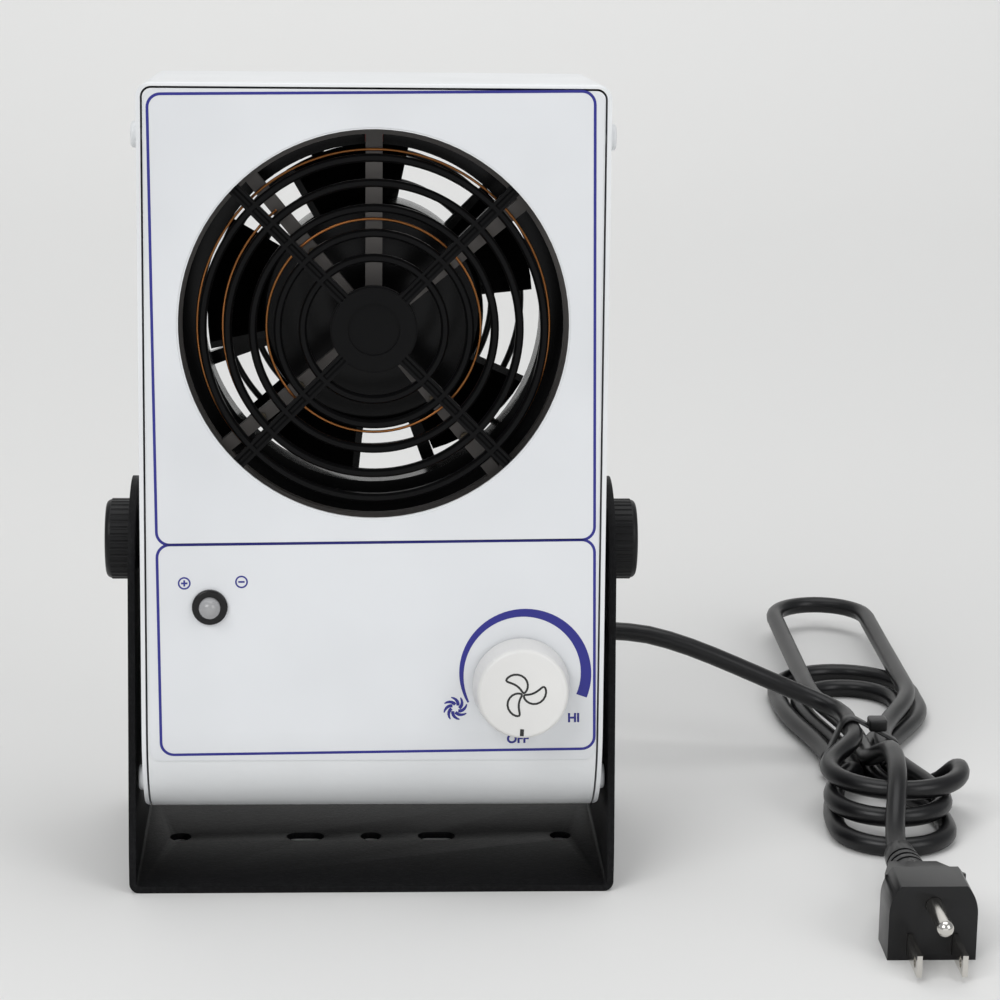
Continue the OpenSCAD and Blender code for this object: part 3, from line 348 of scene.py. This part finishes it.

# %% [markdown]
# ## Mains cord
#
# A mains cord could be a curve with a round bevel or a swept mesh. It is a swept mesh here. Its route starts
# with the points of the CAD model, behind the right arm. The hank is then worked out: every run leaves the
# tie at one slot, eases over to a lane, goes round a half circle and comes back to another slot. Three short
# runs lie in front of the tie, two short loops and a long one behind.

# %% The cord's route, in millimetres
CORD_D = 6
LEAD = [(40, 55.76, 45.45), (40, 59.74, 45.1), (40, 64.72, 44.67), (42.5, 75, 43), (48.5, 82, 42.2),
        (58, 85.7, 41.4), (72, 86, 41), (80, 86, 41), (92, 85, 40), (106, 84, 36), (121, 83, 30),
        (135, 82, 24), (147, 79, 19.5), (154, 74, 17.4), (156, 67, 17)]
TO_PLUG = [(160.5, 47, 10.6), (162, 40, 14), (163, 33, 17.5), (163.5, 26, 20.4), (163.2, 19, 21.8),
           (162.7, 11, 22), (161.8, 3, 21.8), (160.6, -5, 20.2), (159, -13, 17), (157.5, -21, 13.4),
           (156.4, -29, 11), (156, -36, 10.1), (156, -42, 10)]
TIE_BACK, TIE_MIDDLE, TIE_FRONT = 62, 57, 52
LAYERS = [3, 9.2, 15.4]
LOW = [(x, 4.1) for x in (150.5, 156.7, 162.9, 169.1)]
MIDDLE = [(160, 10.3), (168, 10.3)]
TOP = (156, 17)


def ease(t):
    """0 to 1, starting and ending gently."""
    return (1 - math.cos(math.pi * min(max(t, 0), 1))) / 2


def side_run(slot, lane, start, end, climb, spread):
    """From a slot (x, z) of the tie at y = start over to a lane (x, z) at y = end."""
    count = round(abs(end - start) / 5)
    points = []
    for k in range(count):
        t = k / count
        across = ease(t * abs(end - start) / spread) if spread else ease(t)
        rise = ease((t - climb[0]) / (climb[1] - climb[0]))
        points.append((slot[0] + (lane[0] - slot[0]) * across, start + (end - start) * t,
                       slot[1] + (lane[1] - slot[1]) * rise))
    return points


def loop(slots, lanes, start, far, climbs=((0, 1), (0, 1)), spread=None):
    """Out of the tie at the first slot, round a half circle at y = far, back to the second slot."""
    radius = abs(lanes[1][0] - lanes[0][0]) / 2
    middle = (lanes[0][0] + lanes[1][0]) / 2
    out = 1 if far > start else -1
    side_sign = 1 if lanes[0][0] > lanes[1][0] else -1
    turn = far - out * radius
    points = side_run(slots[0], lanes[0], start, turn, climbs[0], spread)
    for k in range(11):
        a = math.pi * k / 10
        points.append((middle + side_sign * radius * math.cos(a), turn + out * radius * math.sin(a),
                       lanes[0][1] + (lanes[1][1] - lanes[0][1]) * k / 10))
    return points + side_run(slots[1], lanes[1], start, turn, climbs[1], spread)[::-1]


def through_tie(slot, start):
    """Into the tie at y = start, along a slot (x, z), up to its middle."""
    return [(slot[0], start, slot[1]), (slot[0], TIE_MIDDLE, slot[1])]


hank = through_tie(TOP, TIE_BACK)
hank += loop((TOP, LOW[3]), ((144, LAYERS[2]), (185, LAYERS[2])), TIE_FRONT, 2, ((0, 1), (0.45, 1)))
hank += through_tie(LOW[3], TIE_FRONT)
hank += loop((LOW[3], LOW[0]), ((189.5, LAYERS[0]), (142.5, LAYERS[0])), TIE_BACK, 159, spread=60)
hank += through_tie(LOW[0], TIE_BACK)
hank += loop((LOW[0], LOW[2]), ((144, LAYERS[0]), (178, LAYERS[0])), TIE_FRONT, -14, spread=44)
hank += through_tie(LOW[2], TIE_FRONT)
hank += loop((LOW[2], LOW[1]), ((183, LAYERS[0]), (149, LAYERS[0])), TIE_BACK, 141, spread=60)
hank += through_tie(LOW[1], TIE_BACK)
hank += loop((LOW[1], MIDDLE[1]), ((144, LAYERS[1]), (178, LAYERS[1])), TIE_FRONT, -5, ((0, 0.4), (0, 1)))
hank += through_tie(MIDDLE[1], TIE_FRONT)
hank += loop((MIDDLE[1], MIDDLE[0]), ((185, LAYERS[1]), (151, LAYERS[1])), TIE_BACK, 222, spread=60)
hank += through_tie(MIDDLE[0], TIE_BACK)
route = [Vector(p) for p in LEAD + hank + TO_PLUG]
print("the cord follows", len(route), "points")


# %% [markdown]
# The route is smoothed, and a round section is carried along it without twisting.

# %% Sweep the cord
def smoothed(points, parts=2):
    """Points on a smooth curve through the given ones, with parts pieces between neighbours."""
    ends = [2 * points[0] - points[1]] + points + [2 * points[-1] - points[-2]]
    curve = []
    for a, b, c, d in zip(ends, ends[1:], ends[2:], ends[3:]):
        for k in range(parts):
            t = k / parts
            square = (2 * a - 5 * b + 4 * c - d) * t ** 2
            cube = (3 * b - 3 * c + d - a) * t ** 3
            curve.append(0.5 * (2 * b + (c - a) * t + square + cube))
    return curve + [points[-1]]


def thread(name, points, diameter, finish, sides=14):
    """A round strand of constant thickness along points, closed at both ends."""
    tube = bmesh.new()
    lift, previous = Vector((0, 0, 1)), None
    angles = [2 * math.pi * k / sides for k in range(sides)]
    for i, point in enumerate(points):
        ahead = (points[min(i + 1, len(points) - 1)] - points[max(i - 1, 0)]).normalized()
        lift = (lift - lift.dot(ahead) * ahead).normalized()
        other = ahead.cross(lift)
        spokes = [lift * math.cos(a) + other * math.sin(a) for a in angles]
        ring = [tube.verts.new(point + spoke * diameter / 2) for spoke in spokes]
        if previous:
            for k in range(sides):
                tube.faces.new((previous[k - 1], previous[k], ring[k], ring[k - 1]))
        else:
            tube.faces.new(ring[::-1])
        previous = ring
    tube.faces.new(previous)
    bmesh.ops.recalc_face_normals(tube, faces=tube.faces)
    return as_piece(name, tube, finish)


def as_piece(name, shape, finish, smooth=True):
    """Turns a bmesh into an object with a finish."""
    mesh = bpy.data.meshes.new(name)
    shape.to_mesh(mesh)
    shape.free()
    if smooth:
        mesh.shade_smooth()
    mesh.materials.append(look[finish])
    piece = bpy.data.objects.new(name, mesh)
    bpy.context.scene.collection.objects.link(piece)
    return piece


line = [p * MM for p in smoothed(route)]
cord_length = sum((b - a).length for a, b in zip(line, line[1:]))
cord = thread("mains_cord", line, CORD_D * MM, "cord_black")
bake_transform(cord)
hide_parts("cord_start", "cord_lead", "cord_loops", "cord_bundle")
print("cord length in metres:", round(cord_length, 3))

# %% [markdown]
# ## Cord tie
#
# A plain ring would stand off the strands. The tie is a strap pulled tight, so its outline is the
# hull of the strands that it holds. It is drawn once as a closed band, with a small head where its
# end goes through.

# %% Tie the hank
STRAND_R = CORD_D / 2 + 0.1
TIE_SECTION = ((54, 0.3), (54.3, 1.0), (58.7, 1.0), (59, 0.3), (58.7, 0), (54.3, 0))
TIE_HEAD = (6, 6, 4)
TIE_HEAD_AT = (164.5, 56.5, 18.6)


def tie_strap():
    """The strap, from its section: places along y, each with its height over the strands."""
    strands = LOW + MIDDLE + [TOP]
    turns = [k * math.pi / 12 for k in range(24)]
    around = [Vector((x + STRAND_R * math.cos(a), z + STRAND_R * math.sin(a)))
              for x, z in strands for a in turns]
    hull = [around[i] for i in convex_hull_2d(around)]
    strap = bmesh.new()
    middle = sum(hull, Vector((0, 0))) / len(hull)
    rings = []
    for y, grow in TIE_SECTION:
        ring = [p + (p - middle).normalized() * grow for p in hull]
        rings.append([strap.verts.new((p.x * MM, y * MM, p.y * MM)) for p in ring])
    for a, b in zip(rings, rings[1:] + rings[:1]):
        for k in range(len(hull)):
            strap.faces.new((a[k - 1], a[k], b[k], b[k - 1]))
    head = bmesh.ops.create_cube(strap, size=1)["verts"]
    bmesh.ops.scale(strap, verts=head, vec=[v * MM for v in TIE_HEAD])
    bmesh.ops.translate(strap, verts=head, vec=[v * MM for v in TIE_HEAD_AT])
    edges = [e for e in strap.edges if all(v in head for v in e.verts)]
    bmesh.ops.bevel(strap, geom=edges, offset=0.8 * MM, segments=3, profile=0.5, affect="EDGES", material=-1)
    bmesh.ops.recalc_face_normals(strap, faces=strap.faces)
    return as_piece("tie_strap", strap, "tie_black")


tie = tie_strap()
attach(tie, "bracket")
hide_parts("cord_tie")
print("hank tied")

# %% [markdown]
# ## Printing on the label
#
# The label's blue lines could be an image, but each is a thin closed strip here, so that it stays
# sharp and lies in its real place. `on_label` puts a point of the flat print on the label, which
# follows the cover where it turns under at the bottom.

# %% Print on the label
COVER_FACE, LABEL_T, INK = 40, 0.32, 0.05
BEND_Z, BEND_R = -49.5, 28
SKEW, SKEW_Z = math.radians(0.74), 30


def on_label(x, z):
    """A point of the flat print, a hair over the label. The whole print is turned by SKEW."""
    above = z - SKEW_Z
    x, z = (x * math.cos(SKEW) - above * math.sin(SKEW),
            SKEW_Z + x * math.sin(SKEW) + above * math.cos(SKEW))
    outer = BEND_R + LABEL_T + INK
    return on_head(x, BEND_R - COVER_FACE - math.sqrt(outer ** 2 - min(0, z - BEND_Z) ** 2), z)


def strip(shape, points, widths, closed=False, place=on_label):
    """A band along points (x, z) of the flat print, with one width or a width for each point."""
    count = len(points)
    if not isinstance(widths, list):
        widths = [widths] * count
    sides = []
    for i, (x, z) in enumerate(points):
        before = points[i - 1] if closed or i else points[i]
        after = points[(i + 1) % count] if closed or i < count - 1 else points[i]
        dx, dz = after[0] - before[0], after[1] - before[1]
        size = math.hypot(dx, dz)
        nx, nz = -dz / size * widths[i] / 2, dx / size * widths[i] / 2
        sides.append([shape.verts.new(place(x + nx, z + nz)), shape.verts.new(place(x - nx, z - nz))])
    pairs = list(zip(sides, sides[1:])) + ([(sides[-1], sides[0])] if closed else [])
    for a, b in pairs:
        shape.faces.new((a[0], b[0], b[1], a[1]))


def arc(x, z, r, start, end, count):
    """Points on an arc about (x, z), from start to end in degrees."""
    angles = [math.radians(start + (end - start) * k / count) for k in range(count + 1)]
    return [(x + r * math.cos(a), z + r * math.sin(a)) for a in angles]


def rounded_outline(x0, z0, x1, z1, r):
    """A closed rounded rectangle, with extra points down its sides."""
    rows = 16
    right = [(x1, z0 + r + (z1 - z0 - 2 * r) * k / rows) for k in range(1, rows)]
    left = [(x0, z1 - r - (z1 - z0 - 2 * r) * k / rows) for k in range(1, rows)]
    return (arc(x0 + r, z0 + r, r, 180, 270, 8) + arc(x1 - r, z0 + r, r, 270, 360, 8) + right
            + arc(x1 - r, z1 - r, r, 0, 90, 8) + arc(x0 + r, z1 - r, r, 90, 180, 8) + left)


def ink(name, shape, finish="blue_ink", body="head"):
    """Gives flat print its thickness, its finish and the body that it rides on."""
    bmesh.ops.recalc_face_normals(shape, faces=shape.faces)
    bmesh.ops.solidify(shape, geom=shape.faces[:], thickness=0.03 * MM)
    bmesh.ops.recalc_face_normals(shape, faces=shape.faces)
    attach(as_piece(name, shape, finish, smooth=False), body)


def lettering(name, words, x, z, size):
    """Plain capitals, made into a mesh and laid on the label."""
    curve = bpy.data.curves.new(name, "FONT")
    curve.body, curve.size, curve.align_x, curve.offset = words, size, "CENTER", 0.13
    maker = bpy.data.objects.new(name, curve)
    bpy.context.scene.collection.objects.link(maker)
    bpy.context.view_layer.update()
    flat = bpy.data.meshes.new_from_object(maker)
    bpy.data.objects.remove(maker)
    shape = bmesh.new()
    shape.from_mesh(flat)
    for v in shape.verts:
        v.co = on_label(x + v.co.x, z + v.co.y)
    ink(name, shape)


frames = bmesh.new()
LEFT, RIGHT = -62, 63
LOWEST, MID, HIGHEST = -55.4, 6.3, 133.9
CORNER_R, FRAME_W = 3.7, 0.8
for low, high in ((MID, HIGHEST), (LOWEST, MID)):
    strip(frames, rounded_outline(LEFT, low, RIGHT, high, CORNER_R), FRAME_W, closed=True)
ink("label_frames", frames)

scale = bmesh.new()
SCALE_X, SCALE_Z, SCALE_R, SCALE_STEPS = 42.6, -32.8, 18, 48
sweep = arc(SCALE_X, SCALE_Z, SCALE_R, 207, -22, SCALE_STEPS)
strip(scale, sweep, [0.5 + 2.7 * (k / SCALE_STEPS) ** 0.6 for k in range(SCALE_STEPS + 1)])
ink("speed_scale", scale)

signs = bmesh.new()
SIGN_R, STROKE, STROKE_W = 1.6, 0.9, 0.5
for x, z, plus in ((-54.4, -4.9, True), (-38.1, -4.7, False)):
    strip(signs, arc(x, z, SIGN_R, 0, 345, 23), 0.45, closed=True)
    strip(signs, [(x - STROKE, z), (x + STROKE, z)], STROKE_W)
    if plus:
        strip(signs, [(x, z + STROKE), (x, z + 0.26)], STROKE_W)
        strip(signs, [(x, z - 0.26), (x, z - STROKE)], STROKE_W)
ink("polarity_signs", signs)

swirl = bmesh.new()
SWIRL_X, SWIRL_Z = 22.8, -42.7
for turn in range(0, 360, 45):
    bent = [(r, math.radians(turn + 26 * (r - 1))) for r in (1.1, 1.6, 2.1, 2.6, 3.1, 3.5)]
    vane = [(SWIRL_X + r * math.cos(a), SWIRL_Z + r * math.sin(a)) for r, a in bent]
    strip(swirl, vane, [0.9, 0.95, 0.9, 0.8, 0.6, 0.3])
ink("fan_sign", swirl)
CAPITALS = 3.6
lettering("off_mark", "OFF", 40.8, -53.2, CAPITALS)
lettering("hi_mark", "HI", 57.0, -47.2, CAPITALS)
print("label printed")

# %% [markdown]
# ## Print on the speed knob
#
# The knob's face carries a three-bladed fan sign and a pointer, both black. They are thin strips
# like the label's, laid on the knob's flat face, and turn with it.

# %% Print on the speed knob
KNOB_X, KNOB_Z, KNOB_FACE = 42.6, -35.5, -52.3


def on_knob(x, z):
    """A point of the knob's face, from its middle."""
    return on_head(KNOB_X + x, KNOB_FACE - INK, KNOB_Z + z)


def blade_outline(turn):
    """One leaning, rounded blade of the fan sign, from the middle outwards."""
    points = []
    for k in range(24):
        a = 2 * math.pi * k / 24
        u, w = 3.5 + 3.1 * math.cos(a), 1.9 * math.sin(a) * (1 + 0.5 * math.cos(a))
        t = math.radians(turn + 9 * (u - 2))
        points.append((u * math.cos(t) - w * math.sin(t), u * math.sin(t) + w * math.cos(t)))
    return points


sign = bmesh.new()
for turn in (90, 210, 330):
    strip(sign, blade_outline(turn), 0.6, closed=True, place=on_knob)
ink("knob_sign", sign, "black_ink", "speed_knob")

pointer = bmesh.new()
strip(pointer, [(-0.2, -10.2), (-0.3, -12.2)], 1.1, place=on_knob)
ink("knob_pointer", pointer, "black_ink", "speed_knob")
print("knob printed")

# %% [markdown]
# ## Studio
#
# A floor and a wall would meet in a line, so a sheet of pale paper runs up behind the blower in
# one curve. Soft panels light it from the left, the right, above, behind and low in front.

# %% Studio
def paper_sheet():
    """A wide sheet in metres: flat from y = -2.2, up through a quarter circle, then upright."""
    sheet = bmesh.new()
    edge = [Vector((-3, -2.2, 0)), Vector((-3, 1.1, 0))]
    for a in [k * math.pi / 24 for k in range(1, 12)]:
        edge.append(Vector((-3, 1.1 + 0.9 * math.sin(a), 0.9 - 0.9 * math.cos(a))))
    edge += [Vector((-3, 2.0, 0.9)), Vector((-3, 2.0, 3.2))]
    corners = [sheet.verts.new(p) for p in edge]
    joins = [sheet.edges.new(pair) for pair in zip(corners, corners[1:])]
    made = bmesh.ops.extrude_edge_only(sheet, edges=joins)["geom"]
    moved = [v for v in made if isinstance(v, bmesh.types.BMVert)]
    bmesh.ops.translate(sheet, verts=moved, vec=(6, 0, 0))
    bmesh.ops.recalc_face_normals(sheet, faces=sheet.faces)
    mesh = bpy.data.meshes.new("paper")
    sheet.to_mesh(mesh)
    mesh.shade_smooth()
    paper = bpy.data.objects.new("paper", mesh)
    bpy.context.scene.collection.objects.link(paper)
    mesh.materials.append(Finish("paper", (0.76, 0.757, 0.745), 0.85).material)


def panel(name, place, aim, size, power):
    """A white area light at place, turned towards aim."""
    light = bpy.data.lights.new(name, "AREA")
    light.shape, light.size, light.size_y = "RECTANGLE", *size
    light.energy = power
    lamp = bpy.data.objects.new(name, light)
    turned = (Vector(aim) - Vector(place)).to_track_quat("-Z", "Y").to_matrix().to_4x4()
    lamp.matrix_world = Matrix.Translation(place) @ turned
    bpy.context.scene.collection.objects.link(lamp)


paper_sheet()
panel("key", (-1.0, -1.3, 1.5), (0, 0, 0.1), (1.2, 1.0), 17)
panel("fill", (1.3, -1.2, 1.1), (0, 0, 0.1), (1.0, 1.2), 9)
panel("top", (0.1, 0.3, 1.9), (0, 0, 0), (1.6, 1.4), 13)
panel("back", (0.2, 1.5, 1.2), (0.1, 2.0, 0.5), (2.0, 0.5), 5)
panel("low", (0, -1.7, 0.22), (0, 0, 0.06), (2.2, 0.4), 2.2)
world = bpy.data.worlds.new("world")
bpy.context.scene.world = world
world.use_nodes = True
sky = world.node_tree.nodes["Background"]
sky.inputs["Color"].default_value = (0.95, 0.97, 1, 1)
sky.inputs["Strength"].default_value = 0.38
bpy.context.scene.view_settings.view_transform = "Standard"
print("studio lit")
